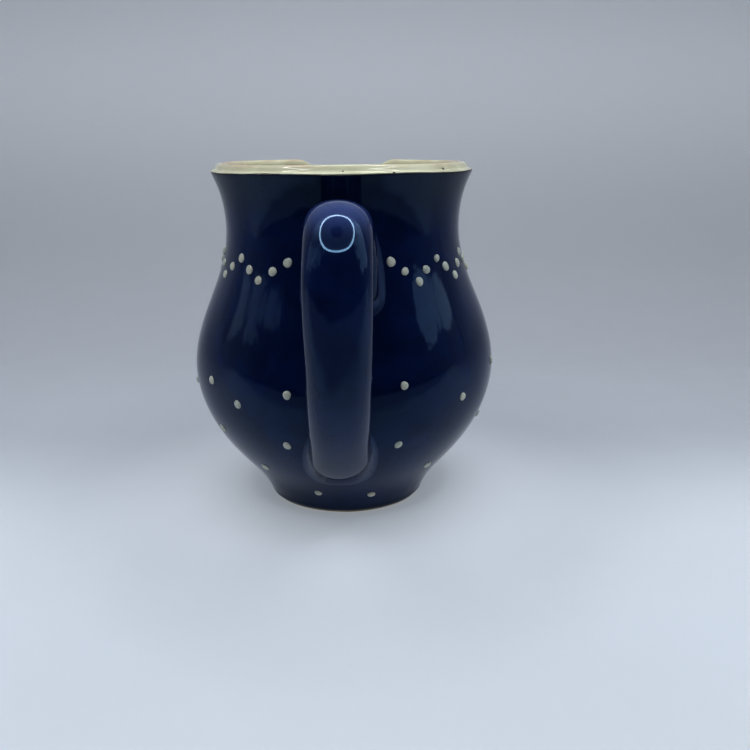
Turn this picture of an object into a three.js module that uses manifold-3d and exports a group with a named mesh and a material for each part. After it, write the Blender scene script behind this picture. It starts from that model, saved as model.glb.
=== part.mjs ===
// A glazed stoneware pouring mug: a round-bellied pot with a flared rim, a pulled pouring lip,
// a strap handle luted on opposite the lip, and a garland of raised slip dots round the neck.
// Millimetres, +Z up. The mug stands on its foot ring, the handle points along -Y and the
// pouring lip along +Y. The origin is the middle of the footprint's box, at table height.

import * as THREE from 'three';
import { mergeVertices } from 'three/addons/utils/BufferGeometryUtils.js';
import Module from 'manifold-3d';

const wasm = await Module();
wasm.setup();

// ---- Driving dimensions ----

// Outline of the pot: foot, belly, neck and rim, from the middle of the pot outwards.
const FOOT = { radius: 21.8, height: 0 };
const HEEL = { radius: 24.9, height: 6 };
const BELLY = { radius: 42.2, height: 39 };
const NECK = { radius: 32.2, height: 78 };
const RIM = { radius: 35.6, height: 92.8 };
const LIP_RISE = 2.4;

// The wall, from outside to inside: blue glaze, clay, cream glaze.
const WALL = 4;
const GLAZE = 0.5;
const COAT_GAP = 0.1;
const JOINT_GAP = 0.3;

// Foot ring and floor.
const BARE_FOOT_HEIGHT = 0.8;
const FOOT_RING_INNER_RADIUS = 17.6;
const FOOT_RECESS = 2;
const FOOT_BEVEL = 0.4;
const FLOOR_TOP = 6.6;
const FLOOR_FLAT_RADIUS = 13;

// Pouring lip, pulled out and down on the +Y side of the rim.
const SPOUT = { pull: 5, dip: 4, root: 76, halfAngle: 34, dipOuter: 28, dipInner: 7 };

// Strap handle.
const STRAP = { width: 15.2, rootWidth: 17.6, lowWidth: 15, thickness: 9 };
const BEND = { reach: 51.3, height: 69, radius: 18.9 };
const STRAP_WIDEST_SHARE = 0.4;
const COLLAR = { spread: 1.6, reach: 4.5, edge: 0.5 };

// Raised slip dots of the neck garland.
const DOT = { radius: 1.15, height: 0.6, gap: 0.2 };
const GARLAND = { dots: 49, period: 4, start: 23.1, step: 6.05, widening: 0.0102, height: 68.7, swing: 2.5 };

// Fineness of the turned surfaces and of the strap.
const TURNS = 48;
const OUTLINE_STEPS = 16;
const HOLLOW_STEPS = 13;
const LIP_STEPS = 4;
const STRAP_STEPS = 24;
const STRAP_SIDES = 12;
const COLLAR_STEPS = 8;
const DOT_SIDES = 8;

// ---- Materials ----

const blueGlaze = () => new THREE.MeshStandardMaterial({ color: 0x101f45, roughness: 0.12, metalness: 0 });
const creamGlaze = () => new THREE.MeshStandardMaterial({ color: 0xcfccb4, roughness: 0.18, metalness: 0 });
const bareClay = () => new THREE.MeshStandardMaterial({ color: 0xb7a68c, roughness: 0.85, metalness: 0 });
const creamSlip = () => new THREE.MeshStandardMaterial({ color: 0xdedbc8, roughness: 0.3, metalness: 0 });

// ---- Solids: moving between three.js geometry and manifold-3d ----

function toSolid(geometry) {
  const bare = geometry.clone();
  bare.deleteAttribute('normal');
  bare.deleteAttribute('uv');
  const merged = mergeVertices(bare, 1e-4);
  return new wasm.Manifold(new wasm.Mesh({
    numProp: 3,
    vertProperties: Float32Array.from(merged.attributes.position.array),
    triVerts: Uint32Array.from(merged.index.array),
  }));
}

function toGeometry(solid) {
  const { vertProperties, triVerts } = solid.getMesh();
  const geometry = new THREE.BufferGeometry();
  geometry.setAttribute('position', new THREE.BufferAttribute(Float32Array.from(vertProperties), 3));
  geometry.setIndex(new THREE.BufferAttribute(Uint32Array.from(triVerts), 1));
  return geometry;
}

function named(name, geometry, material) {
  const mesh = new THREE.Mesh(geometry, material);
  mesh.name = name;
  return mesh;
}

// ---- The pot's outline ----

const outline = new THREE.SplineCurve([
  new THREE.Vector2(FOOT.radius, FOOT.height),
  new THREE.Vector2(HEEL.radius, HEEL.height),
  new THREE.Vector2(31.6, 14),
  new THREE.Vector2(38.9, 25),
  new THREE.Vector2(BELLY.radius, BELLY.height),
  new THREE.Vector2(39, 54),
  new THREE.Vector2(33.2, 70),
  new THREE.Vector2(NECK.radius, NECK.height),
  new THREE.Vector2(34.4, 90),
  new THREE.Vector2(RIM.radius, RIM.height),
]);

// A point of the outline moved into the wall. Near the rim the wall is measured level, so that
// its layers end side by side under the rounded lip.
function insetPoint(along, inset) {
  const point = outline.getPointAt(along);
  const tangent = outline.getTangentAt(along);
  const levelling = THREE.MathUtils.smoothstep(point.y, NECK.height, RIM.height);
  const inward = new THREE.Vector2(-tangent.y, tangent.x * (1 - levelling)).normalize();
  return point.addScaledVector(inward, inset);
}

function wallPoints(from, to, inset, steps) {
  const points = [];
  for (let i = 0; i <= steps; i++) {
    points.push(insetPoint(THREE.MathUtils.lerp(from, to, i / steps), inset));
  }
  return points;
}

// The rounded lip, from its outer side over the crest to its inner side.
function lipPoints(outerInset, innerInset, rise) {
  const middle = RIM.radius - (outerInset + innerInset) / 2;
  const half = (innerInset - outerInset) / 2;
  const points = [];
  for (let i = 1; i < LIP_STEPS; i++) {
    const angle = (Math.PI * i) / LIP_STEPS;
    points.push(new THREE.Vector2(middle + half * Math.cos(angle), RIM.height + rise * Math.sin(angle)));
  }
  return points;
}

// The hollow's side of the wall, down from the lip to the middle of the floor.
function hollowPoints(inset, floor) {
  const corner = insetPoint(HOLLOW_START, inset);
  const bend = new THREE.QuadraticBezierCurve(
    corner,
    new THREE.Vector2(FLOOR_FLAT_RADIUS + 5, floor),
    new THREE.Vector2(FLOOR_FLAT_RADIUS, floor),
  );
  return [
    ...wallPoints(1, HOLLOW_START, inset, HOLLOW_STEPS),
    ...bend.getPoints(2).slice(1),
    new THREE.Vector2(0, floor),
  ];
}

// How far along the outline a height is reached.
function alongAt(height) {
  let low = 0;
  let high = 1;
  for (let i = 0; i < 40; i++) {
    const middle = (low + high) / 2;
    if (outline.getPointAt(middle).y < height) low = middle;
    else high = middle;
  }
  return low;
}

const HOLLOW_START = alongAt(HEEL.height + 3);
const GLAZE_START = alongAt(BARE_FOOT_HEIGHT);
const GLAZE_END = alongAt(RIM.height - 0.25);

// ---- Turned pieces ----

// Pulls the rim out and down on the +Y side. Everything turned is shaped by it alike.
function pullSpout(geometry) {
  const position = geometry.attributes.position;
  const point = new THREE.Vector3();
  for (let i = 0; i < position.count; i++) {
    point.fromBufferAttribute(position, i);
    const radius = Math.hypot(point.x, point.y);
    const turn = Math.abs(THREE.MathUtils.radToDeg(Math.atan2(point.x, point.y)));
    const rise = THREE.MathUtils.smoothstep(point.z, SPOUT.root, RIM.height);
    const pulled = 1 - THREE.MathUtils.smoothstep(turn, 0, SPOUT.halfAngle);
    const dipped = 1 - THREE.MathUtils.smoothstep(turn, SPOUT.dipInner, SPOUT.dipOuter);
    const scale = radius > 0 ? 1 + (SPOUT.pull * pulled * rise) / radius : 1;
    position.setXYZ(i, point.x * scale, point.y * scale, point.z - SPOUT.dip * dipped * rise);
  }
  return geometry;
}

// Turns a closed half-section of [radius, height] points about the upright middle axis.
function turned(points) {
  const geometry = new THREE.LatheGeometry(points, TURNS);
  geometry.rotateX(Math.PI / 2);
  return pullSpout(geometry);
}

// A coat is turned the other way round and then flipped, so that its four-sided faces are
// split along the same diagonals as those of the clay it lies on.
function turnedCoat(points) {
  const geometry = turned(points.toReversed());
  const index = geometry.index.array;
  for (let i = 0; i < index.length; i += 3) {
    [index[i], index[i + 1]] = [index[i + 1], index[i]];
  }
  return geometry;
}

function clayBodyGeometry() {
  const outside = GLAZE + COAT_GAP;
  const inside = WALL - GLAZE - COAT_GAP;
  const heel = insetPoint(0, outside);
  return turned([
    new THREE.Vector2(0, FOOT_RECESS),
    new THREE.Vector2(FOOT_RING_INNER_RADIUS - FOOT_BEVEL, FOOT_RECESS),
    new THREE.Vector2(FOOT_RING_INNER_RADIUS, FOOT_BEVEL),
    new THREE.Vector2(FOOT_RING_INNER_RADIUS + FOOT_BEVEL, 0),
    new THREE.Vector2(heel.x - FOOT_BEVEL, 0),
    heel,
    ...wallPoints(GLAZE_START, GLAZE_END, outside, OUTLINE_STEPS),
    insetPoint(1, outside),
    ...lipPoints(outside, inside, LIP_RISE - GLAZE - COAT_GAP),
    ...hollowPoints(inside, FLOOR_TOP - GLAZE - COAT_GAP),
  ]);
}

function outerGlazeGeometry() {
  const outer = wallPoints(GLAZE_START, GLAZE_END, 0, OUTLINE_STEPS);
  const inner = wallPoints(GLAZE_END, GLAZE_START, GLAZE, OUTLINE_STEPS);
  return turnedCoat([...outer, ...inner, outer[0].clone()]);
}

function linerGlazeGeometry() {
  const top = [insetPoint(1, 0), ...lipPoints(0, WALL, LIP_RISE), ...hollowPoints(WALL, FLOOR_TOP)];
  const back = [
    insetPoint(1, GLAZE),
    ...lipPoints(GLAZE, WALL - GLAZE, LIP_RISE - GLAZE),
    ...hollowPoints(WALL - GLAZE, FLOOR_TOP - GLAZE),
  ];
  return turnedCoat([...back.reverse(), ...top]);
}

// The whole of the pot as one block, used to cut what is luted onto it.
function potBlock(growth) {
  return toSolid(turned([
    new THREE.Vector2(0, -growth),
    ...wallPoints(0, 1, -growth, OUTLINE_STEPS * 2),
    new THREE.Vector2(0, RIM.height + growth),
  ]));
}

// ---- Strap handle ----

// A point of the strap's upper bend, at an angle above the level.
function bendPoint(degrees, radius) {
  const angle = THREE.MathUtils.degToRad(degrees);
  return new THREE.Vector2(BEND.reach + radius * Math.cos(angle), BEND.height + radius * Math.sin(angle));
}

// The strap lies between an outer and an inner line, drawn as [reach, height] from the upper
// root, over the bend and down to the lower root. Both lines start and end inside the wall.
const BEND_ANGLES = [90, 60, 30, 0];
const outerLine = new THREE.SplineCurve([
  new THREE.Vector2(26, 80.4),
  new THREE.Vector2(33.5, 83.4),
  new THREE.Vector2(42, 86.4),
  ...BEND_ANGLES.map((degrees) => bendPoint(degrees, BEND.radius)),
  new THREE.Vector2(67.8, 56.5),
  new THREE.Vector2(64.2, 47),
  new THREE.Vector2(59, 38),
  new THREE.Vector2(52, 29),
  new THREE.Vector2(43, 20.5),
  new THREE.Vector2(34, 14.8),
  new THREE.Vector2(25, 11),
]);
const innerLine = new THREE.SplineCurve([
  new THREE.Vector2(26, 53.5),
  new THREE.Vector2(36.5, 59),
  new THREE.Vector2(43.2, 72.5),
  ...BEND_ANGLES.map((degrees) => bendPoint(degrees, BEND.radius - STRAP.thickness)),
  new THREE.Vector2(59.3, 59.4),
  new THREE.Vector2(56.1, 50.9),
  new THREE.Vector2(51.5, 43),
  new THREE.Vector2(45.4, 35.1),
  new THREE.Vector2(37.4, 27.6),
  new THREE.Vector2(29.3, 22.5),
  new THREE.Vector2(21, 19),
]);

function strapWidth(along) {
  const narrowing = THREE.MathUtils.lerp(STRAP.width, STRAP.lowWidth, THREE.MathUtils.smoothstep(along, 0.4, 0.8));
  const upperFlare = (STRAP.rootWidth - STRAP.width) * (1 - THREE.MathUtils.smoothstep(along, 0.05, 0.26));
  const lowerFlare = (STRAP.rootWidth - STRAP.width) * THREE.MathUtils.smoothstep(along, 0.8, 0.95);
  return narrowing + upperFlare + lowerFlare;
}

// The pot's outer radius at a height, read off the outline.
function potRadius(height) {
  return outline.getPointAt(alongAt(THREE.MathUtils.clamp(height, FOOT.height, RIM.height))).x;
}

// Bends an upright cylinder of radius 1 along the strap, from one share of its length to
// another. Its section is an egg, rounder on the outside of the handle. growth is the extra
// size on every side at a point, and may depend on the distance from the pot.
function strapGeometry(from, to, steps, growth) {
  const geometry = new THREE.CylinderGeometry(1, 1, 1, STRAP_SIDES, steps);
  const position = geometry.attributes.position;
  for (let i = 0; i < position.count; i++) {
    const along = THREE.MathUtils.lerp(from, to, 0.5 - position.getY(i));
    const across = position.getX(i);
    const depth = position.getZ(i);
    const outer = outerLine.getPoint(along);
    const inner = innerLine.getPoint(along);
    const widest = inner.clone().lerp(outer, STRAP_WIDEST_SHARE);
    const target = depth > 0 ? outer : inner;
    const place = widest.clone().lerp(target, Math.abs(depth));
    const extra = growth(place);
    place.addScaledVector(outer.clone().sub(inner).normalize(), depth * extra);
    position.setXYZ(i, across * (strapWidth(along) / 2 + extra), -place.x, place.y);
  }
  return geometry;
}

function strapSolid(growth) {
  return toSolid(strapGeometry(0, 1, STRAP_STEPS, () => growth));
}

// A coil of slip round a root of the strap, thick against the pot and feathered along the strap.
function collarGeometry(from, to) {
  const fillet = (place) => {
    const away = Math.max(0, place.x - potRadius(place.y)) / COLLAR.reach;
    return COLLAR.edge + COLLAR.spread * Math.max(0, 1 - away) ** 2;
  };
  const flared = toSolid(strapGeometry(from, to, COLLAR_STEPS, fillet));
  const near = potBlock(COLLAR.reach);
  const collar = flared.intersect(near).subtract(strapSolid(JOINT_GAP)).subtract(potBlock(JOINT_GAP));
  return toGeometry(collar);
}

// ---- Raised dots ----

function dotGeometry() {
  return new THREE.LatheGeometry([
    new THREE.Vector2(0, 0),
    new THREE.Vector2(DOT.radius, 0),
    new THREE.Vector2(DOT.radius * 0.72, DOT.height * 0.75),
    new THREE.Vector2(0, DOT.height),
  ], DOT_SIDES);
}

// Sets a dot on the pot's surface, its top along the surface's outward direction. The turn is
// measured from the handle's side, towards +X.
function placeDot(dot, turn, height) {
  const along = alongAt(height);
  const seat = insetPoint(along, -DOT.gap);
  const tangent = outline.getTangentAt(along);
  const angle = THREE.MathUtils.degToRad(turn);
  const outward = new THREE.Vector3(
    tangent.y * Math.sin(angle),
    -tangent.y * Math.cos(angle),
    -tangent.x,
  );
  dot.position.set(seat.x * Math.sin(angle), -seat.x * Math.cos(angle), seat.y);
  dot.quaternion.setFromUnitVectors(new THREE.Vector3(0, 1, 0), outward.normalize());
}

// ---- Assembly ----

const mug = new THREE.Group();

mug.add(named('clay_body', clayBodyGeometry(), bareClay()));
mug.add(named('liner_glaze', linerGlazeGeometry(), creamGlaze()));

// The strap's clay passes through two windows in the blue coat to meet the pot's clay.
const strapClay = strapSolid(-GLAZE - COAT_GAP);
const coatWindows = strapSolid(JOINT_GAP - GLAZE - COAT_GAP);
const outerCoat = toSolid(outerGlazeGeometry()).subtract(coatWindows);
const handleClay = strapClay.subtract(potBlock(JOINT_GAP - GLAZE - COAT_GAP));
const handleCoat = strapSolid(0).subtract(strapSolid(-GLAZE)).subtract(potBlock(JOINT_GAP));

mug.add(named('outer_glaze', toGeometry(outerCoat), blueGlaze()));
mug.add(named('handle_strap', toGeometry(handleClay), bareClay()));
mug.add(named('handle_glaze', toGeometry(handleCoat), blueGlaze()));
mug.add(named('upper_luting_collar', collarGeometry(0, 0.3), blueGlaze()));
mug.add(named('lower_luting_collar', collarGeometry(0.78, 1), blueGlaze()));

// The garland runs from one side of the handle round the back to the other, in a zigzag whose
// steps grow a little wider on the way.
for (let i = 0; i < GARLAND.dots; i++) {
  const turn = GARLAND.start + GARLAND.step * i + GARLAND.widening * i ** 2;
  const height = GARLAND.height + GARLAND.swing * Math.cos((2 * Math.PI * i) / GARLAND.period);
  const dot = named(`neck_dot_${String(i + 1).padStart(2, '0')}`, dotGeometry(), creamSlip());
  placeDot(dot, turn, height);
  mug.add(dot);
}

// Moves the mug so that the origin is the middle of its footprint.
mug.updateMatrixWorld(true);
const extent = new THREE.Box3().setFromObject(mug, true);
mug.position.y = -(extent.min.y + extent.max.y) / 2;

export default mug;
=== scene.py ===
"""A glazed stoneware pouring mug with a strap handle and raised slip dots, in soft studio light."""

import math

import bpy
import numpy as np
from mathutils import Matrix, Vector


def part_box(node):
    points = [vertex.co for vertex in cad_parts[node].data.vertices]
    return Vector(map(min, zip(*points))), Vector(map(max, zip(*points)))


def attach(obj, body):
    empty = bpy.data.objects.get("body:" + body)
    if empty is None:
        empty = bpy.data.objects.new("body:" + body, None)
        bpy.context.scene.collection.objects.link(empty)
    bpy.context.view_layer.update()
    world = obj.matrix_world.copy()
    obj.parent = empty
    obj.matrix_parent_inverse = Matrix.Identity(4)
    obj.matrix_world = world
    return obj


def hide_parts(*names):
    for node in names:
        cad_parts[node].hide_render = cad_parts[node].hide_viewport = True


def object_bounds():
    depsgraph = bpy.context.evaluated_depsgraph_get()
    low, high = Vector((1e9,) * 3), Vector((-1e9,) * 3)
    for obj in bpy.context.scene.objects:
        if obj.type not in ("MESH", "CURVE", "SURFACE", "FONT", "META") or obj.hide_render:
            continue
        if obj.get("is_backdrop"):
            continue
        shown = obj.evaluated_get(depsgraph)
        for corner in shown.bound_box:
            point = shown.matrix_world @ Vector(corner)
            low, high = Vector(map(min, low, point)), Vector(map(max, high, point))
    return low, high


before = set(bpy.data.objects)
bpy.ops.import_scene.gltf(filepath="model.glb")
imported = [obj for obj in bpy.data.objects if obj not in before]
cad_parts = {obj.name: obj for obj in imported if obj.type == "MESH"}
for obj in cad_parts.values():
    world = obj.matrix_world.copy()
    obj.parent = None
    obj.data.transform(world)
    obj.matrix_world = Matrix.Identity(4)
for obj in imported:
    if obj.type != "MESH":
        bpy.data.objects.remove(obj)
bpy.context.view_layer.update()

# Lengths below are millimetres. The pot is turned about an upright axis at x = 0.
MM = 0.001
coat_low, coat_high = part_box("outer_glaze")
AXIS_Y = (coat_low.y + (coat_high.x - coat_low.x) / 2) / MM

OUTLINE = [
    (22.0, 0),
    (25.1, 6),
    (31.7, 14),
    (39.1, 25),
    (42.5, 39),
    (39.3, 54),
    (33.4, 70),
    (32.4, 78),
    (34.6, 90),
    (35.9, 92.8),
]
NECK_HEIGHT, RIM_RADIUS, RIM_HEIGHT, LIP_RISE = 78, 35.9, 92.8, 2.4
WALL, GLAZE = 4, 0.45
FOOT_RECESS, BARE_FOOT = 2, 0.55
FLOOR_TOP, FLOOR_FLAT = 6.6, 13
# The pouring lip: how far it is pulled out and down, where the pull starts, and its half angles in degrees.
SPOUT_PULL, SPOUT_DIP, SPOUT_ROOT, SPOUT_HALF_ANGLE = 5, 4, 76, 34
SPOUT_DIP_OUTER, SPOUT_DIP_INNER = 28, 7
TURNS = 288

rng = np.random.default_rng(20)


# ---- Small helpers ----


def smoother(x, low, high):
    t = np.clip((np.asarray(x, float) - low) / (high - low), 0, 1)
    return t**3 * (t * (6 * t - 15) + 10)


def natural_spline(points, knots):
    """A smooth curve through points, as a function of the knot value. Its second derivative is continuous."""
    p = np.array(points, float)
    t = np.array(knots, float)
    d = np.diff(t)
    n = len(p)
    a, b = np.eye(n), np.zeros_like(p)
    for i in range(1, n - 1):
        a[i, i - 1 : i + 2] = d[i - 1], 2 * (d[i - 1] + d[i]), d[i]
        b[i] = 6 * ((p[i + 1] - p[i]) / d[i] - (p[i] - p[i - 1]) / d[i - 1])
    m = np.linalg.solve(a, b)

    def at(s):
        s = np.clip(np.asarray(s, float), t[0], t[-1])
        k = np.clip(np.searchsorted(t, s, side="right") - 1, 0, n - 2)
        h = d[k]
        u, v = (t[k + 1] - s) / h, (s - t[k]) / h
        u, v, h = u[..., None], v[..., None], h[..., None]
        return u * p[k] + v * p[k + 1] + ((u**3 - u) * m[k] + (v**3 - v) * m[k + 1]) * h * h / 6

    return at


def chord_knots(points):
    steps = np.linalg.norm(np.diff(np.array(points, float), axis=0), axis=1)
    return np.concatenate([[0], np.cumsum(steps)])


def ripples(count, shortest, longest, size, girth=2 * math.pi * 38):
    """Seeded waves over a turned surface: the slight unevenness of hand-thrown clay, as a height in mm."""
    waves = []
    for _ in range(count):
        length = shortest * (longest / shortest) ** rng.random()
        way = rng.random() * 2 * math.pi
        waves.append(
            (
                round(girth / length * math.cos(way)),
                2 * math.pi / length * math.sin(way),
                rng.random() * 2 * math.pi,
                size * length / longest * math.sqrt(2 / count),
            )
        )

    def at(angle, height):
        total = np.zeros(np.broadcast(angle, height).shape)
        for around, up, phase, share in waves:
            total += share * np.cos(around * angle + up * height + phase)
        return total

    return at


broad = ripples(22, 22, 60, 0.11)
fine = ripples(40, 6, 14, 0.012)
edge_noise = ripples(16, 6, 40, 0.2)
rim_wave = ripples(6, 50, 120, 0.16)


def wobble(angle, height):
    return broad(angle, height) + fine(angle, height)


# ---- The pot's outline ----

outline = natural_spline(OUTLINE, chord_knots(OUTLINE))
OUTLINE_LENGTH = chord_knots(OUTLINE)[-1]
_s = np.linspace(0, OUTLINE_LENGTH, 6001)
_points = outline(_s)


def along_at(height):
    return np.interp(height, _points[:, 1], _s)


def radius_at(height):
    return np.interp(height, _points[:, 1], _points[:, 0])


def wall(s, inset):
    """Points of the outline moved into the wall, as [radius, height]. The inset is level near the rim."""
    p = outline(s)
    t = outline(np.asarray(s) + 0.01) - outline(np.asarray(s) - 0.01)
    level = smoother(p[..., 1], NECK_HEIGHT, RIM_HEIGHT)
    inward = np.stack([-t[..., 1], t[..., 0] * (1 - level)], -1)
    inward /= np.linalg.norm(inward, axis=-1, keepdims=True)
    return p + inward * np.asarray(inset)[..., None]


def set_round(radius, height, angle, ripple=1.0):
    """Turns [radius, height] to points round the axis, with the pulled lip and the uneven hand-made surface.
    The angle is measured from the handle's side, -Y, towards +X."""
    turn = np.abs(np.degrees(np.arctan2(np.sin(angle), -np.cos(angle))))
    rise = smoother(height, SPOUT_ROOT, RIM_HEIGHT)
    pulled = 1 - smoother(turn, -2, SPOUT_HALF_ANGLE)
    dipped = 1 - smoother(turn, SPOUT_DIP_INNER, SPOUT_DIP_OUTER)
    r = radius + SPOUT_PULL * pulled * rise * np.minimum(1, radius / 10)
    r = r + ripple * wobble(angle, height) * np.minimum(1, radius / 20)
    z = height - SPOUT_DIP * dipped * rise + rim_wave(angle, 0 * height) * smoother(height, 84, RIM_HEIGHT)
    return np.stack([r * np.sin(angle), -r * np.cos(angle), z], -1)


# ---- Meshes ----


def linked_mesh(name, verts, faces, material):
    mesh = bpy.data.meshes.new(name)
    mesh.from_pydata(verts, [], faces)
    mesh.materials.append(material)
    obj = bpy.data.objects.new(name, mesh)
    bpy.context.scene.collection.objects.link(obj)
    return obj


def smooth_shaded(obj):
    obj.data.polygons.foreach_set("use_smooth", [True] * len(obj.data.polygons))
    obj.data.update()
    return obj


def new_object(name, verts, faces, material):
    """A smooth piece of the mug from points in mm about the pot's axis, with its faces turned outwards."""
    verts = np.array(verts, float)
    corners = np.array([(f[0], f[i], f[i + 1]) for f in faces for i in range(1, len(f) - 1)])
    a, b, c = (verts[corners[:, i]] for i in range(3))
    if np.sum(a * np.cross(b, c)) < 0:
        faces = [f[::-1] for f in faces]
    world = (verts + (0, AXIS_Y, 0)) * MM
    return smooth_shaded(linked_mesh(name, world.tolist(), faces, material))


def ring_faces(rows, cols, closed=False, base=0):
    faces = []
    for i in range(rows if closed else rows - 1):
        a, b = base + i * cols, base + (i + 1) % rows * cols
        for j in range(cols):
            k = (j + 1) % cols
            faces.append((a + j, a + k, b + k, b + j))
    return faces


def turned_shell(name, rows, material, poles=None):
    """A skin through rows of points that each go once round. With poles, the ends close on two points."""
    rows = np.array(rows, float)
    count, cols = rows.shape[:2]
    verts = rows.reshape(-1, 3)
    faces = ring_faces(count, cols, closed=poles is None)
    if poles is not None:
        verts = np.vstack([verts, poles])
        first, last = len(verts) - 2, len(verts) - 1
        top = (count - 1) * cols
        for j in range(cols):
            k = (j + 1) % cols
            faces.append((first, k, j))
            faces.append((last, top + j, top + k))
    return new_object(name, verts, faces, material)


# ---- Materials ----


class Nodes:
    """A short way to write a procedural material."""

    def __init__(self, name):
        self.material = bpy.data.materials.new(name)
        self.material.use_nodes = True
        self.tree = self.material.node_tree
        self.shader = self.tree.nodes["Principled BSDF"]
        self.coords = self.tree.nodes.new("ShaderNodeTexCoord").outputs["Object"]

    def put(self, socket, value):
        if hasattr(value, "links"):
            self.tree.links.new(value, socket)
        else:
            socket.default_value = value

    def noise(self, scale, detail=3, roughness=0.5, distortion=0.0, coords=None):
        n = self.tree.nodes.new("ShaderNodeTexNoise")
        n.inputs["Scale"].default_value = scale
        n.inputs["Detail"].default_value = detail
        n.inputs["Roughness"].default_value = roughness
        n.inputs["Distortion"].default_value = distortion
        self.put(n.inputs["Vector"], coords or self.coords)
        return n.outputs["Fac"]

    def spots(self, scale, randomness=1.0):
        n = self.tree.nodes.new("ShaderNodeTexVoronoi")
        n.inputs["Scale"].default_value = scale
        n.inputs["Randomness"].default_value = randomness
        self.put(n.inputs["Vector"], self.coords)
        return n.outputs["Distance"]

    def map(self, value, low, high, to_low=0.0, to_high=1.0):
        n = self.tree.nodes.new("ShaderNodeMapRange")
        n.interpolation_type = "SMOOTHSTEP"
        for i, v in enumerate((value, low, high, to_low, to_high)):
            self.put(n.inputs[i], v)
        return n.outputs[0]

    def mix(self, factor, a, b):
        n = self.tree.nodes.new("ShaderNodeMix")
        n.data_type = "RGBA"
        self.put(n.inputs[0], factor)
        self.put(n.inputs[6], a)
        self.put(n.inputs[7], b)
        return n.outputs[2]

    def math(self, kind, a, b=0.0):
        n = self.tree.nodes.new("ShaderNodeMath")
        n.operation = kind
        self.put(n.inputs[0], a)
        self.put(n.inputs[1], b)
        return n.outputs[0]

    def coordinate(self, axis):
        n = self.tree.nodes.new("ShaderNodeSeparateXYZ")
        self.put(n.inputs[0], self.coords)
        return n.outputs[axis]

    def bump(self, height, strength, distance, onto=None):
        n = self.tree.nodes.new("ShaderNodeBump")
        n.inputs["Strength"].default_value = strength
        n.inputs["Distance"].default_value = distance
        self.put(n.inputs["Height"], height)
        if onto is not None:
            self.put(n.inputs["Normal"], onto)
        return n.outputs["Normal"]

    def finish(self, **sockets):
        for name, value in sockets.items():
            self.put(self.shader.inputs[name.replace("_", " ")], value)
        return self.material


def blue_glaze(name, crown=False, joint_with_painted_sheen=False):
    n = Nodes(name)
    mottle = n.noise(90, 5, 0.55, 0.6)
    cloud = n.noise(22, 2, 0.5)
    deep, mid, thin = (0.0014, 0.0066, 0.041, 1), (0.0025, 0.0110, 0.064, 1), (0.006, 0.019, 0.084, 1)
    colour = n.mix(n.map(mottle, 0.35, 0.7), deep, mid)
    colour = n.mix(n.map(cloud, 0.45, 0.75, 0, 0.45), colour, thin)
    if joint_with_painted_sheen:
        # Over the fingered joints the blue is painted paler: a painted sheen for the light the hollow fillets
        # reflect.
        colour = n.mix(n.map(mottle, 0.3, 0.6, 0.55, 0.95), colour, (0.024, 0.040, 0.100, 1))
    z = n.coordinate("Z")
    if crown:
        # The top of the handle is painted a paler blue: a painted highlight for the bright light it reflects
        # from above.
        colour = n.mix(n.map(z, 0.0800, 0.0870, 0, 0.95), colour, (0.036, 0.060, 0.190, 1))
    else:
        # Painted shade: the blue darkens towards the rim, where the neck lies in shade from the lamp above.
        colour = n.mix(n.map(z, 0.078, 0.090, 0, 0.6), colour, (0.0010, 0.0030, 0.012, 1))
    # Where it breaks over the rim's edge and at the foot, the glaze is thinner and browner.
    edge = n.math("MAXIMUM", n.map(z, 0.0912, 0.0931, 0, 0.55), n.map(z, 0.0032, 0.0014, 0, 0.5))
    colour = n.mix(n.math("MULTIPLY", edge, n.map(mottle, 0.3, 0.6)), colour, (0.012, 0.010, 0.014, 1))
    rough = n.map(n.noise(160, 3), 0.3, 0.7, 0.16 if joint_with_painted_sheen else 0.045, 0.26 if joint_with_painted_sheen else 0.085)
    orange_peel = n.bump(n.noise(420, 2), 0.10, 0.00006)
    normal = n.bump(n.noise(1500, 1), 0.05, 0.00002, orange_peel)
    return n.finish(
        Base_Color=colour,
        Roughness=rough,
        Normal=normal,
        IOR=1.5,
        Specular_IOR_Level=0.46,
        Specular_Tint=(0.42, 0.72, 1.0, 1),
    )


def cream_glaze(name):
    n = Nodes(name)
    cloud = n.noise(70, 4, 0.6, 0.8)
    patch = n.noise(34, 3, 0.55, 0.4)
    cream, warm, tan = (0.68, 0.66, 0.48, 1), (0.57, 0.53, 0.38, 1), (0.50, 0.35, 0.25, 1)
    colour = n.mix(n.map(cloud, 0.35, 0.7), cream, warm)
    # Over the crest of the lip the glaze runs thin and the clay warms it.
    z = n.coordinate("Z")
    crest = n.map(z, 0.0935, 0.0952)
    colour = n.mix(n.math("MULTIPLY", crest, n.map(patch, 0.42, 0.62, 0, 0.75)), colour, tan)
    specks = n.map(n.spots(300), 0.05, 0.11, 0.8, 0)
    rare = n.map(n.noise(120, 1), 0.56, 0.62)
    colour = n.mix(n.math("MULTIPLY", specks, rare), colour, (0.10, 0.06, 0.035, 1))
    rough = n.map(n.noise(200, 3), 0.3, 0.7, 0.05, 0.10)
    normal = n.bump(n.noise(350, 3), 0.10, 0.00008)
    return n.finish(Base_Color=colour, Roughness=rough, Normal=normal, IOR=1.5)


def slip(name):
    n = Nodes(name)
    cloud = n.noise(600, 3, 0.6)
    tone = n.noise(60, 1)
    colour = n.mix(n.map(cloud, 0.35, 0.7), (0.54, 0.56, 0.49, 1), (0.40, 0.42, 0.38, 1))
    colour = n.mix(n.map(tone, 0.4, 0.65, 0, 0.6), colour, (0.57, 0.54, 0.44, 1))
    rough = n.map(n.noise(900, 2), 0.3, 0.7, 0.22, 0.38)
    normal = n.bump(n.noise(1400, 3), 0.25, 0.00008)
    return n.finish(Base_Color=colour, Roughness=rough, Normal=normal, IOR=1.48)


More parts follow.
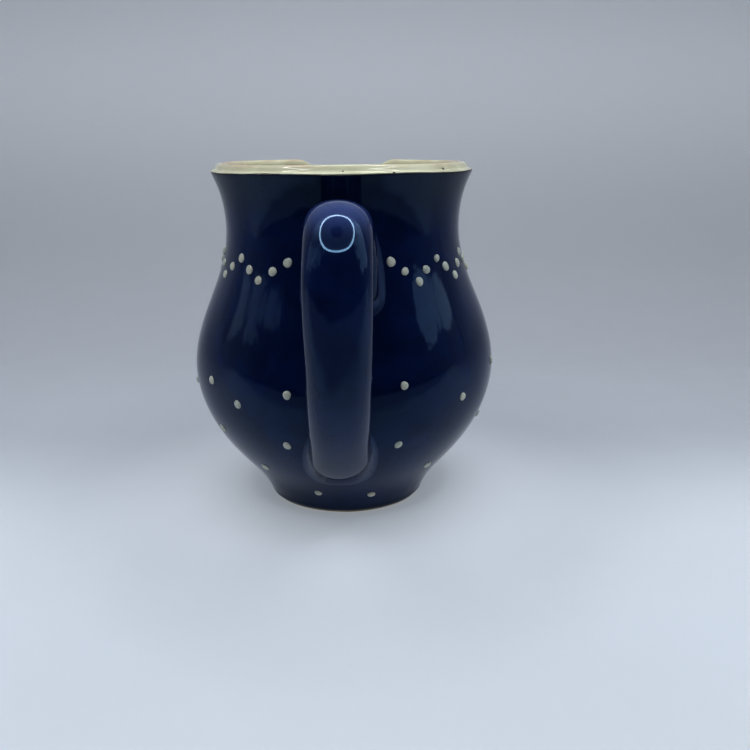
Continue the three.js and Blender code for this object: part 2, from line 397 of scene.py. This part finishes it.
def bare_clay(name):
    n = Nodes(name)
    cloud = n.noise(140, 5, 0.6)
    grit = n.noise(1800, 3, 0.7)
    colour = n.mix(n.map(cloud, 0.3, 0.7), (0.42, 0.35, 0.25, 1), (0.30, 0.235, 0.16, 1))
    specks = n.map(n.spots(700), 0.08, 0.16, 0.85, 0)
    rare = n.map(n.noise(300, 1), 0.52, 0.6)
    colour = n.mix(n.math("MULTIPLY", specks, rare), colour, (0.06, 0.035, 0.02, 1))
    normal = n.bump(grit, 0.5, 0.00015, n.bump(cloud, 0.3, 0.0003))
    return n.finish(Base_Color=colour, Roughness=n.map(grit, 0.3, 0.7, 0.75, 0.95), Normal=normal)


def speck_finish(name):
    n = Nodes(name)
    colour = n.mix(n.map(n.noise(1500, 3), 0.35, 0.65), (0.02, 0.014, 0.012, 1), (0.07, 0.045, 0.03, 1))
    normal = n.bump(n.noise(2500, 2), 0.3, 0.00005)
    return n.finish(Base_Color=colour, Roughness=n.map(n.noise(900, 2), 0.3, 0.7, 0.3, 0.55), Normal=normal)


PAPER_GLOW = (0.88, 0.94, 1.0, 1)


def lamp_paper(name, light, dark, glow=0.0):
    """The card inside the ring lamp."""
    n = Nodes(name)
    colour = n.mix(n.map(n.noise(6, 3), 0.35, 0.65), light, dark)
    normal = n.bump(n.noise(300, 2), 0.05, 0.0002)
    rough = n.map(n.noise(40, 2), 0.3, 0.7, 0.55, 0.65)
    return n.finish(
        Base_Color=colour,
        Roughness=rough,
        Normal=normal,
        Emission_Color=PAPER_GLOW,
        Emission_Strength=glow,
    )


def table_paper(name):
    """The floor is a table lit softly from below. The sheet is painted greyer where it curves up behind, as
    painted shade, and paler higher up, as painted light.
    """
    n = Nodes(name)
    y, z = n.coordinate("Y"), n.coordinate("Z")
    light, dark = (0.495, 0.508, 0.538, 1), (0.485, 0.498, 0.528, 1)
    behind, above = (0.425, 0.435, 0.462, 1), (0.700, 0.710, 0.745, 1)
    colour = n.mix(n.map(n.noise(6, 3), 0.35, 0.65), light, dark)
    # Painted shade where the sheet curves up behind the mug, and painted light higher up.
    colour = n.mix(n.map(y, -0.020, 0.070), colour, behind)
    colour = n.mix(n.map(z, 0.030, 0.165), colour, above)
    away = n.tree.nodes.new("ShaderNodeVectorMath")
    away.operation = "DISTANCE"
    n.put(away.inputs[0], n.coords)
    away.inputs[1].default_value = (0, AXIS_Y * MM, 0)
    # Painted light: the glow is stronger towards the front, with a pool under the mug that lifts its shadow.
    painted_glow_under_mug = n.map(away.outputs["Value"], 0.030, 0.085, 0.13, 0)
    glow = n.math("ADD", n.map(y, -0.030, 0.070, 0.14, 0.02), painted_glow_under_mug)
    normal = n.bump(n.noise(300, 2), 0.05, 0.0002)
    rough = n.map(n.noise(40, 2), 0.3, 0.7, 0.55, 0.65)
    return n.finish(
        Base_Color=colour,
        Roughness=rough,
        Normal=normal,
        Emission_Color=PAPER_GLOW,
        Emission_Strength=glow,
    )


BLUE = blue_glaze("blue_glaze")
HANDLE_BLUE = blue_glaze("handle_blue_glaze", crown=True)
JOINT_BLUE = blue_glaze("joint_blue_glaze", joint_with_painted_sheen=True)
CREAM = cream_glaze("cream_glaze")
SLIP = slip("cream_slip")
CLAY = bare_clay("bare_clay")
SPECK = speck_finish("iron_speck")

angles = np.linspace(0, 2 * math.pi, TURNS, endpoint=False)


# ---- Blue coat ----

# The coat ends in a rounded, slightly wandering edge under the lip, and in a thicker roll
# above the bare foot.
top_line = RIM_HEIGHT - 0.1 + edge_noise(angles, 0 * angles)
bottom_line = BARE_FOOT + 0.5 * edge_noise(angles, 40 + 0 * angles)
top_s, bottom_s = along_at(top_line), along_at(bottom_line)


def edge_inset(distance, reach=0.35):
    t = np.clip(1 - np.asarray(distance) / reach, 0, 1)
    return (GLAZE - 0.08) * (1 - np.sqrt(1 - t**2))


def coat_row(share, below_top=None, above_bottom=None, inset=None):
    """One ring of the coat: at a share of its height, or a distance from one of its edges."""
    if below_top is not None:
        s = top_s - below_top
    elif above_bottom is not None:
        s = bottom_s + above_bottom
    else:
        s = bottom_s + 1.6 + (top_s - bottom_s - 2.2) * share
    if inset is None:
        to_top, to_bottom = top_s - s, s - bottom_s
        roll = 0.14 * np.exp(-(((to_bottom - 0.9) / 0.7) ** 2))
        inset = edge_inset(to_top) + edge_inset(to_bottom) - roll
    p = wall(s, np.broadcast_to(inset, s.shape))
    return set_round(p[:, 0], p[:, 1], angles)


EDGE = (0, 0.03, 0.08, 0.16, 0.26, 0.4)
rows = [coat_row(0, above_bottom=e) for e in EDGE + (0.6, 0.9, 1.2)]
rows += [coat_row(f) for f in np.linspace(0, 1, 190)]
rows += [coat_row(0, below_top=e) for e in EDGE[::-1]]
rows += [coat_row(0, below_top=e, inset=GLAZE) for e in (0, 0.3)]
rows += [coat_row(f, inset=GLAZE) for f in np.linspace(1, 0, 40)]
rows += [coat_row(0, above_bottom=0, inset=GLAZE)]
pot_blue_coat = turned_shell("pot_blue_coat", rows, BLUE)


# ---- Cream coat: the lip, and the lining of the hollow ----


# The lip is set back from the outer edge in a small cove, and round on top. [radius, height]
LIP = [
    (35.9, 92.8),
    (35.6, 93.0),
    (35.1, 93.18),
    (34.68, 93.5),
    (34.4, 94.0),
    (34.05, 94.5),
    (33.4, 94.9),
    (32.75, 94.85),
    (32.25, 94.4),
    (31.97, 93.7),
    (31.9, 92.8),
]
lip = natural_spline(LIP, chord_knots(LIP))
LIP_ROWS, LIP_START = 60, 0.8


def inner_path(inset):
    """The lip and the lining as [radius, height] points at an inset from the glaze's outer face."""
    s = np.linspace(OUTLINE_LENGTH - LIP_START, OUTLINE_LENGTH, 9)[:-1]
    start = wall(s, np.full(s.shape, inset))
    half = WALL / 2
    crest = lip(np.linspace(0, chord_knots(LIP)[-1], 49))
    middle = np.array([RIM_RADIUS - half, RIM_HEIGHT])
    crest = middle + (crest - middle) * ((half - inset) / half, (LIP_RISE - inset) / LIP_RISE)
    low = along_at(9)
    s = np.linspace(OUTLINE_LENGTH, low, 160)[1:]
    side = wall(s, np.full(s.shape, WALL - inset))
    corner, floor = side[-1], FLOOR_TOP - inset
    t = np.linspace(0, 1, 14)[1:, None]
    turn, end = np.array([FLOOR_FLAT + 4.5, floor]), np.array([FLOOR_FLAT, floor])
    bend = (1 - t) ** 2 * corner + 2 * t * (1 - t) * turn + t**2 * end
    flat = np.stack([np.linspace(FLOOR_FLAT, 0.6, 16)[1:], np.full(15, floor)], -1)
    path = np.vstack([start, crest, side, bend, flat])
    # Rounds the corner between the outline and the lip.
    n = LIP_ROWS
    smooth = path.copy()
    for _ in range(3):
        smooth[1:n] = (smooth[0 : n - 1] + 2 * smooth[1:n] + smooth[2 : n + 1]) / 4
    return smooth


front, back = inner_path(0), inner_path(GLAZE)
front_length = chord_knots(front)
back_length = chord_knots(back)


def on_path(path, lengths, at):
    return np.stack([np.interp(at, lengths, path[:, i]) for i in (0, 1)], -1)


# The potter's fingers left shallow rings up the inside of the wall, but not on the lip.
THROWING_RING, THROWING_PITCH, ON_THE_LIP = 0.07, 5.5, 8


def lining_row(index, face):
    """One ring of the lining. The first few follow the wandering edge of the blue coat."""
    path, lengths = (front, front_length) if face == "front" else (back, back_length)
    at = np.full(TURNS, lengths[index])
    line = np.interp(top_line + 0.07, path[:30, 1], lengths[:30])
    settle = np.clip(1 - (lengths[index] - lengths[0]) / 3.0, 0, 1)
    at = at + (line - lengths[0]) * settle
    p = on_path(path, lengths, at)
    if face == "front":
        sink = edge_inset(at - line, 0.3)
        p = p - np.stack([sink, 0.3 * sink], -1)
    if lengths[index] < ON_THE_LIP:
        return set_round(p[:, 0], p[:, 1], angles)
    on_wall = smoother(p[:, 1], 8, 20) * (1 - smoother(p[:, 1], NECK_HEIGHT, 90))
    rings = THROWING_RING * np.sin(p[:, 1] * 2 * math.pi / THROWING_PITCH + angles)
    return set_round(p[:, 0] + rings * on_wall, p[:, 1], angles)


def kept_rows(path, step):
    """All the rows of the lip, every few of the wall, and the last."""
    return [i for i in range(len(path)) if i < LIP_ROWS or i % step == 0 or i == len(path) - 1]


back_rows = [lining_row(i, "back") for i in reversed(kept_rows(back, 4))]
front_rows = [lining_row(i, "front") for i in kept_rows(front, 2)]
pot_cream_coat = turned_shell(
    "pot_cream_coat",
    back_rows + front_rows,
    CREAM,
    poles=[(0, 0, FLOOR_TOP - GLAZE), (0, 0, FLOOR_TOP + 0.1)],
)


# ---- Clay: the foot ring shows, the rest is under the coats ----

UNDER = GLAZE + 0.03
foot_outer = outline(along_at(0.5))[0] - 0.35
foot = [
    (3, FOOT_RECESS + 0.25),
    (8, FOOT_RECESS + 0.15),
    (13, FOOT_RECESS + 0.05),
    (15.4, FOOT_RECESS),
    (16.5, FOOT_RECESS - 0.2),
    (17.1, FOOT_RECESS - 0.7),
    (17.45, 1.0),
    (17.6, 0.55),
    (17.85, 0.18),
    (18.3, 0.0),
    (18.9, 0.0),
    (19.8, 0.0),
    (20.7, 0.0),
    (foot_outer - 0.5, 0.0),
    (foot_outer - 0.2, 0.07),
    (foot_outer - 0.04, 0.22),
    (foot_outer, 0.4),
]
clay = [np.array(foot)]
s = np.linspace(along_at(0.6), OUTLINE_LENGTH, 90)
clay.append(wall(s, 0.35 + (UNDER - 0.35) * smoother(outline(s)[:, 1], 0.6, 1.4)))
inner = inner_path(UNDER)
clay.append(inner[9::3])
clay = np.vstack(clay)
clay_rows = [set_round(np.full(TURNS, r), np.full(TURNS, h), angles) for r, h in clay]
for row in clay_rows:
    low = row[:, 2] < 0.02
    row[low, 2] = 0
pot_clay = turned_shell(
    "pot_clay", clay_rows, CLAY, poles=[(0, 0, FOOT_RECESS + 0.3), (0, 0, FLOOR_TOP - UNDER)]
)


# ---- Strap handle ----

BEND_REACH, BEND_HEIGHT, BEND_RADIUS, STRAP_THICKNESS = 51.3, 69, 18.9, 9
STRAP_WIDTH, ROOT_WIDTH, LOW_WIDTH, WIDEST_SHARE = 15.2, 17.6, 15.0, 0.4


def bend(degrees, radius):
    a = math.radians(degrees)
    return BEND_REACH + radius * math.cos(a), BEND_HEIGHT + radius * math.sin(a)


# [reach from the axis, height] down the outer and the inner side of the strap.
OUTER_LINE = [(26, 80.4), (33.5, 83.4), (42, 86.4)]
OUTER_LINE += [bend(a, BEND_RADIUS) for a in (90, 60, 30, 0)]
OUTER_LINE += [(67.8, 56.5), (64.2, 47), (59, 38), (52, 29), (43, 20.2), (34, 14.2), (25, 10.4)]
INNER_LINE = [(26, 53.5), (36.5, 59), (43.2, 72.5)]
INNER_LINE += [bend(a, BEND_RADIUS - STRAP_THICKNESS) for a in (90, 60, 30, 0)]
INNER_LINE += [(59.3, 59.4), (56.1, 50.9), (51.5, 43), (45.4, 35.1), (37.4, 27.6), (29.3, 22.5), (21, 19)]
strap_lines = natural_spline(np.hstack([OUTER_LINE, INNER_LINE]), np.linspace(0, 1, len(OUTER_LINE)))
strap_waves = ripples(14, 18, 45, 0.07, girth=42)
# The strap was pressed on a little askew: its roots and its bend lie to different sides.
lean = natural_spline([(-0.95,), (-0.3,), (0.2,), (0.75,), (0.85,)], (10, 22, 34, 52, 90))


def strap_width(along):
    width = STRAP_WIDTH + (LOW_WIDTH - STRAP_WIDTH) * smoother(along, 0.35, 0.85)
    width = width + (ROOT_WIDTH - STRAP_WIDTH) * (1 - smoother(along, 0.03, 0.28))
    return width + 1.4 * smoother(along, 0.76, 0.94)


def widest_share(along):
    return WIDEST_SHARE - 0.17 * (1 - smoother(along, 0.02, 0.22))


def strap_surface(along, around):
    """A point on the strap, [x, y, z] from the pot's axis. Its section is an egg, squarer at the top root."""
    lines = strap_lines(along)
    outer, inner = lines[..., :2], lines[..., 2:]
    across = outer - inner
    c, s = np.cos(around), np.sin(around)
    power = 2 / (2.28 - 0.26 * smoother(along, 0.16, 0.26))
    share = widest_share(along)
    x = strap_width(along) / 2 * np.sign(c) * np.abs(c) ** power
    depth = np.where(s > 0, 1 - share, share) * np.sign(s) * np.abs(s) ** power
    swell = 1 + strap_waves(around, along * 160) / 7
    x = x * swell
    place = inner + across * (share + depth * swell)[..., None]
    x = x + lean(place[..., 1])[..., 0]
    return np.stack([x, -place[..., 0], place[..., 1]], -1)


def clearance(points):
    """How far points near the handle's side stand off the pot's surface, in mm."""
    x, y, z = points[..., 0], points[..., 1], points[..., 2]
    slope = (radius_at(z + 0.2) - radius_at(z - 0.2)) / 0.4
    angle = np.arctan2(x, -y)
    return (np.hypot(x, y) - radius_at(z) - wobble(angle, z)) / np.sqrt(1 + slope**2)


SIDES = 80
around = np.linspace(0, 2 * math.pi, SIDES, endpoint=False)
SCAN = 140


def surface_normals(along, turn):
    e = 1e-4
    du = strap_surface(along + e, turn) - strap_surface(along - e, turn)
    dv = strap_surface(along, turn + 10 * e) - strap_surface(along, turn - 10 * e)
    n = np.cross(du, dv)
    n /= np.linalg.norm(n, axis=-1, keepdims=True)
    middle = strap_lines(along)
    centre = middle[..., 2:] + widest_share(along)[..., None] * (middle[..., :2] - middle[..., 2:])
    centre = np.stack([lean(centre[..., 1])[..., 0], -centre[..., 0], centre[..., 1]], -1)
    side = np.sum(n * (strap_surface(along, turn) - centre), -1)
    return n * np.sign(side)[..., None]


def strap_meets(root, standoff, lift):
    """Where, along each line of the strap, the strap grown by lift is a standoff away from the pot."""
    scan = np.linspace(0.5, 0.0, SCAN) if root == "upper" else np.linspace(0.55, 1.0, SCAN)

    def gap_at(a, t):
        p = strap_surface(a, t)
        if np.any(lift):
            p = p + surface_normals(a, t) * lift[..., None]
        return clearance(p) - standoff

    a, t = np.meshgrid(scan, around, indexing="ij")
    under = gap_at(a, t) < 0
    first = np.where(under.any(0), under.argmax(0), SCAN - 1)
    clear, sunk = scan[np.maximum(first - 1, 0)], scan[first]
    for _ in range(16):
        middle = (clear + sunk) / 2
        below = gap_at(middle, around) < 0
        sunk, clear = np.where(below, middle, sunk), np.where(below, clear, middle)
    return (clear + sunk) / 2


flush = np.zeros(SIDES)
upper_end, lower_end = strap_meets("upper", -0.35, flush), strap_meets("lower", -0.35, flush)
strap_rows = []
for f in np.linspace(0, 1, 170):
    strap_rows.append(strap_surface(upper_end + (lower_end - upper_end) * f, around))
handle = turned_shell(
    "handle", strap_rows, HANDLE_BLUE, poles=[strap_rows[0].mean(0), strap_rows[-1].mean(0)]
)


def luting_collar(name, root, radius):
    """The smoothed clay round a root of the strap: tangent to the pot and to the strap."""
    loops, sunk, feather = [], np.full(SIDES, -0.25), 0.02
    steps = [
        (radius * (1 - math.sin(u)) - feather, radius * (1 - math.cos(u)) - feather)
        for u in np.linspace(0, math.pi / 2, 12)
    ]
    for lift, standoff in steps + [(sunk, radius - 0.1), (sunk, sunk), (radius - 0.1, sunk)]:
        a = strap_meets(root, standoff, lift)
        loops.append(strap_surface(a, around) + surface_normals(a, around) * lift[:, None])
    return turned_shell(name, loops, JOINT_BLUE)


crown = np.maximum(0, np.sin(around))
upper_collar = luting_collar("upper_collar", "upper", 2.0 + 0.6 * crown**2)
lower_collar = luting_collar("lower_collar", "lower", 2.1 - 1.1 * crown**4)


# ---- Raised slip dots ----


def drops(name, places, material, height, rings=7, sides=22):
    """Drops on the pot's outside, each [turn in degrees, height up the pot, radius], joined as one piece."""
    verts, faces = [], []
    for turn, up, size in places:
        t = np.linspace(0, 2 * math.pi, sides, endpoint=False)
        skew, oval = rng.random() * math.pi, 1 + 0.10 * rng.random()
        bumps = 1 + 0.03 * np.cos(3 * t + rng.random() * 6)
        rise = height * (0.9 + 0.2 * rng.random())
        angle0, radius0 = math.radians(turn), float(radius_at(up))
        base = len(verts)
        levels = [(1.0, -0.2)] + [(math.sin(a), None) for a in np.linspace(math.pi / 2, 0.12, rings)]
        for share, sunk in levels:
            u = size * share * bumps * np.cos(t) * oval
            v = size * share * bumps * np.sin(t) / oval
            a = u * math.cos(skew) - v * math.sin(skew)
            b = u * math.sin(skew) + v * math.cos(skew)
            s = along_at(up) + max(0, up - RIM_HEIGHT) + b
            over = on_path(front, front_length, s - OUTLINE_LENGTH + LIP_START)
            p = np.where((s > OUTLINE_LENGTH)[:, None], over, wall(s, np.zeros(sides)))
            angle = angle0 + a / radius0
            lift = sunk if sunk is not None else rise * (1 - share**2.4) ** 0.55
            on = set_round(p[:, 0], p[:, 1], angle)
            slope = (radius_at(p[:, 1] + 0.2) - radius_at(p[:, 1] - 0.2)) / 0.4
            out = np.stack([np.sin(angle), -np.cos(angle), -slope], -1)
            out /= np.linalg.norm(out, axis=1, keepdims=True)
            verts.extend(on + out * lift)
        faces += ring_faces(len(levels), sides, base=base)
        last = base + (len(levels) - 1) * sides
        faces.append(tuple(last + j for j in range(sides)))
        faces.append(tuple(base + j for j in range(sides))[::-1])
    return new_object(name, verts, faces, material)


# The garland: a zigzag of four dots to a wave, a little wider apart towards the back.
GARLAND_DOTS, GARLAND_START, GARLAND_STEP, GARLAND_WIDENING = 49, 23.1, 6.05, 0.0102
GARLAND_HEIGHT, GARLAND_SWING = 68.7, 2.5
garland = []
for i in range(GARLAND_DOTS):
    turn = GARLAND_START + GARLAND_STEP * i + GARLAND_WIDENING * i**2
    up = GARLAND_HEIGHT + GARLAND_SWING * math.cos(2 * math.pi * i / 4)
    garland.append((turn + 0.35 * rng.normal(), up + 0.12 * rng.normal(), 1.22 + 0.07 * rng.normal()))
neck_dots = drops("neck_dots", garland, SLIP, 0.55)

# Two wide zigzags of dots on the belly, and a last row near the foot.
beside_handle = [(-54.2, 39.5), (-57, 25), (-39, 35.2), (-41.6, 14.6), (-17.8, 39.9), (-20.6, 25.3)]
beside_handle += [(22.2, 41.8), (21.8, 25.3), (48.7, 35.5), (46, 14.2), (76, 40.9), (76, 25)]
scatter = [(turn, up, 1.15 + 0.06 * rng.normal()) for turn, up in beside_handle]
for i in range(9):
    turn = 76 + 22.9 * (i + 1)
    for up in (40.5, 25) if i % 2 else (35.3, 14.5):
        scatter.append((turn + rng.normal(), up + 0.25 * rng.normal(), 1.15 + 0.06 * rng.normal()))
scatter += [(-15.8, 7.2, 1.12), (17.2, 6.5, 1.14)]
scatter += [(turn, 6.8 + 0.15 * rng.normal(), 1.12) for turn in (92, 136, 180, 224, 268)]
belly_dots = drops("belly_dots", scatter, SLIP, 0.5)

# Iron specks on the rim. A height past the rim's is a distance over the lip.
specks = [(22.4, 93.2, 0.36), (49, 94.2, 0.42), (-34, 92.3, 0.25)]
specks += [(118, 93.9, 0.35), (-150, 93.4, 0.3), (-95, 92.4, 0.28)]
rim_specks = drops("rim_specks", specks, SPECK, 0.12, rings=4, sides=10)


# ---- Which CAD nodes the pieces stand for ----

for piece, slot_name, nodes in (
    (pot_clay, "bare_clay", ["clay_body"]),
    (pot_blue_coat, "blue_glaze", ["outer_glaze"]),
    (pot_cream_coat, "cream_glaze", ["liner_glaze"]),
    (handle, "blue_glaze", ["handle_strap", "handle_glaze"]),
    (upper_collar, "blue_glaze", ["upper_luting_collar"]),
    (lower_collar, "blue_glaze", ["lower_luting_collar"]),
    (neck_dots, "cream_slip", [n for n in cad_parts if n.startswith("neck_dot_")]),
    (belly_dots, "cream_slip", []),
    (rim_specks, "bare_clay", []),
):
    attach(piece, "root")
    if nodes:
        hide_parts(*nodes)


# ---- Floor and backdrop: one pale sheet that curves up behind ----


def sheet_object(name, section, half_width, material):
    """A sheet along X from a section of [y, z] points, in metres."""
    verts, faces = [], []
    for x in np.linspace(-half_width, half_width, 9):
        verts += [(x, y, z) for y, z in section]
    n = len(section)
    for i in range(8):
        for j in range(n - 1):
            faces.append((i * n + j, i * n + j + 1, (i + 1) * n + j + 1, (i + 1) * n + j))
    smooth_shaded(linked_mesh(name, verts, faces, material))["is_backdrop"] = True


SWEEP_START, SWEEP_RADIUS = 0.16, 0.22
flat = [(y, -0.0002) for y in (-1.4, -0.7, -0.3, 0.0, SWEEP_START)]
sweep = [
    (SWEEP_START + SWEEP_RADIUS * math.sin(a), -0.0002 + SWEEP_RADIUS * (1 - math.cos(a)))
    for a in np.linspace(0, math.pi / 2, 25)[1:]
]
up = [(SWEEP_START + SWEEP_RADIUS, z) for z in (0.5, 1.0)]
sheet_object("floor_and_backdrop", flat + sweep + up, 1.6, table_paper("paper"))


# ---- Light: a soft tent with a ring lamp above the camera's side ----

LAMP, LAMP_SPREAD = (-0.006, -0.074, 0.300), 1.18
LAMP_RADIUS, LAMP_BAND, LAMP_STRENGTH, LAMP_MIDDLE = 0.121, 0.013, 13, 0.037


def disc(name, inner, outer, lift, material, sides=64):
    """A flat ring at the lamp, wider across than deep. The camera doesn't see it; the glaze mirrors it."""
    verts = []
    for i in range(sides):
        a = 2 * math.pi * i / sides
        for r in (inner, outer):
            verts.append((LAMP[0] + LAMP_SPREAD * r * math.cos(a), LAMP[1] + r * math.sin(a), LAMP[2] + lift))
    pairs = [(i, (i + 1) % sides) for i in range(sides)]
    faces = [(2 * i, 2 * i + 1, 2 * j + 1, 2 * j) for i, j in pairs]
    obj = linked_mesh(name, verts, faces, material)
    obj.visible_camera = False
    obj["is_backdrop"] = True


def lamp_light(name):
    m = bpy.data.materials.new(name)
    m.use_nodes = True
    tree = m.node_tree
    tree.nodes.clear()
    out = tree.nodes.new("ShaderNodeOutputMaterial")
    glow = tree.nodes.new("ShaderNodeEmission")
    glow.inputs["Strength"].default_value = LAMP_STRENGTH
    glow.inputs["Color"].default_value = (0.93, 0.97, 1.0, 1)
    tree.links.new(glow.outputs[0], out.inputs[0])
    return m


half_band = LAMP_BAND / 2
disc("ring_lamp", LAMP_RADIUS - half_band, LAMP_RADIUS + half_band, 0, lamp_light("ring_lamp_light"), 96)
card = lamp_paper("lamp_cloth", (0.30, 0.33, 0.36, 1), (0.34, 0.37, 0.40, 1), 0.30)
disc("lamp_card", LAMP_MIDDLE - 0.001, LAMP_RADIUS, 0.002, card)
dark_card = lamp_paper("lamp_dark", (0.012, 0.012, 0.013, 1), (0.016, 0.016, 0.017, 1))
disc("lamp_middle", 0.0005, LAMP_MIDDLE, 0.003, dark_card)


def softbox(name, place, aim, size, power):
    """A large soft light that lights the scene but isn't mirrored in the glaze."""
    light = bpy.data.lights.new(name, "AREA")
    light.shape = "RECTANGLE"
    light.size, light.size_y = size
    light.energy = power
    light.color = (0.955, 0.975, 1.0)
    obj = bpy.data.objects.new(name, light)
    bpy.context.scene.collection.objects.link(obj)
    obj.location = place
    obj.rotation_mode = "QUATERNION"
    obj.rotation_quaternion = (Vector(aim) - Vector(place)).to_track_quat("-Z", "Y")
    obj.visible_glossy = False


softbox("overhead", (0.0, -0.1, 1.2), (0, 0, 0), (1.6, 1.4), 9.2)
softbox("front", (0.0, -1.3, 0.7), (0, 0.1, 0.05), (1.8, 1.0), 1.6)

# Only reflections show this sheet: a painted reflection of the floor in front, pale near the mug, darker
# further out and near black beyond.


def painted_reflection_floor(name):
    n = Nodes(name)
    y = n.math("ADD", n.coordinate("Y"), n.map(n.noise(14, 2), 0.3, 0.7, -0.012, 0.012))
    colour = n.mix(n.map(y, -0.062, -0.095), (0.62, 0.66, 0.72, 1), (0.27, 0.29, 0.32, 1))
    colour = n.mix(n.map(y, -0.150, -0.175), colour, (0.010, 0.011, 0.013, 1))
    return n.finish(Base_Color=colour, Roughness=n.map(n.noise(40, 2), 0.3, 0.7, 0.7, 0.8))


front_verts = [(x, y, 0.001) for x in (-1.5, 1.5) for y in (-0.06, -1.4)]
front_cloth = linked_mesh("front_cloth", front_verts, [(0, 1, 3, 2)], painted_reflection_floor("painted_reflection_floor"))
for ray in ("camera", "diffuse", "shadow", "transmission"):
    setattr(front_cloth, "visible_" + ray, False)
front_cloth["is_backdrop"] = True

world = bpy.data.worlds.new("tent")
bpy.context.scene.world = world
world.use_nodes = True
tree = world.node_tree
background = tree.nodes["Background"]


def world_math(kind, a, b=0.0):
    n = tree.nodes.new("ShaderNodeMath")
    n.operation = kind
    for socket, value in zip(n.inputs, (a, b)):
        if hasattr(value, "links"):
            tree.links.new(value, socket)
        else:
            socket.default_value = value
    return n.outputs[0]


def world_map(value, low, high, to_low, to_high):
    n = tree.nodes.new("ShaderNodeMapRange")
    n.interpolation_type = "SMOOTHSTEP"
    for i, v in enumerate((value, low, high, to_low, to_high)):
        if hasattr(v, "links"):
            tree.links.new(v, n.inputs[i])
        else:
            n.inputs[i].default_value = v
    return n.outputs[0]


def world_window(value, start, full, fade, end):
    rise, fall = world_map(value, start, full, 0, 1), world_map(value, fade, end, 1, 0)
    return world_math("MULTIPLY", rise, fall)


def world_patch(across, up, level):
    """A soft light in the tent, with uneven edges. Each way it starts, is full, starts to fade, and ends."""
    beside = world_window(world_math("ADD", azimuth, uneven), *across)
    above = world_window(world_math("ADD", elevation, uneven), *up)
    return world_math("MULTIPLY", world_math("MULTIPLY", beside, above), level)


DEGREES = 180 / math.pi
direction = tree.nodes.new("ShaderNodeTexCoord").outputs["Generated"]
split = tree.nodes.new("ShaderNodeSeparateXYZ")
tree.links.new(direction, split.inputs[0])
# Degrees from the handle's side, towards +X, and degrees above the level.
towards_handle = world_math("MULTIPLY", split.outputs[1], -1)
azimuth = world_math("MULTIPLY", world_math("ARCTAN2", split.outputs[0], towards_handle), DEGREES)
elevation = world_math("MULTIPLY", world_math("ARCSINE", split.outputs[2]), DEGREES)
aside = world_math("ABSOLUTE", azimuth)
fold = tree.nodes.new("ShaderNodeTexNoise")
fold.inputs["Scale"].default_value = 5
fold.inputs["Detail"].default_value = 2
tree.links.new(direction, fold.inputs["Vector"])
uneven = world_map(fold.outputs["Fac"], 0.3, 0.7, -7, 7)
# The darkest part is the room seen past the camera; the tent's sides are brighter, its top brightest.
tent = world_math("ADD", world_map(aside, 16, 19, 0.01, 0.03), world_map(aside, 40, 130, 0.0, 0.34))
behind = world_map(split.outputs[1], -0.15, 0.25, 0.03, 1)
top = world_math("MULTIPLY", world_map(elevation, 36, 55, 0, 1.0), behind)
lit = world_math("ADD", tent, top)
PATCHES = [
    ((-84, -76, -50, -44), (26, 31, 48, 56), 0.55),
    ((-108, -99, -78, -71), (12, 19, 37, 45), 0.5),
    ((66, 70, 112, 140), (17, 22, 48, 58), 1.0),
]
for patch in PATCHES:
    lit = world_math("ADD", lit, world_patch(*patch))
background.inputs["Color"].default_value = (0.78, 0.89, 1.0, 1)
# Seen directly, past the sheet's edges, the tent is a plain grey.
seen = tree.nodes.new("ShaderNodeLightPath").outputs["Is Camera Ray"]
mirrored = world_math("MULTIPLY", lit, world_math("SUBTRACT", 1, seen))
lit = world_math("ADD", mirrored, world_math("MULTIPLY", seen, 0.42))
tree.links.new(lit, background.inputs["Strength"])


# ---- Camera ----

camera_data = bpy.data.cameras.new("camera")
camera_data.sensor_width = 36
camera_data.lens = 40.8
camera_data.dof.use_dof = False
camera_data.clip_start = 0.01
camera = bpy.data.objects.new("camera", camera_data)
bpy.context.scene.collection.objects.link(camera)
camera.location = (0.00873, -0.2274, 0.100)
LOOK_DOWN, ROLL = math.radians(15.33), 0.006
tilt = Matrix.Rotation(math.pi / 2 - LOOK_DOWN, 3, "X") @ Matrix.Rotation(-ROLL, 3, "Z")
camera.rotation_mode = "QUATERNION"
camera.rotation_quaternion = tilt.to_quaternion()
bpy.context.scene.camera = camera
bpy.context.scene.view_settings.view_transform = "Standard"
bpy.context.scene.view_settings.gamma = 0.78
bpy.context.scene.view_settings.exposure = 0.32

low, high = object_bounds()
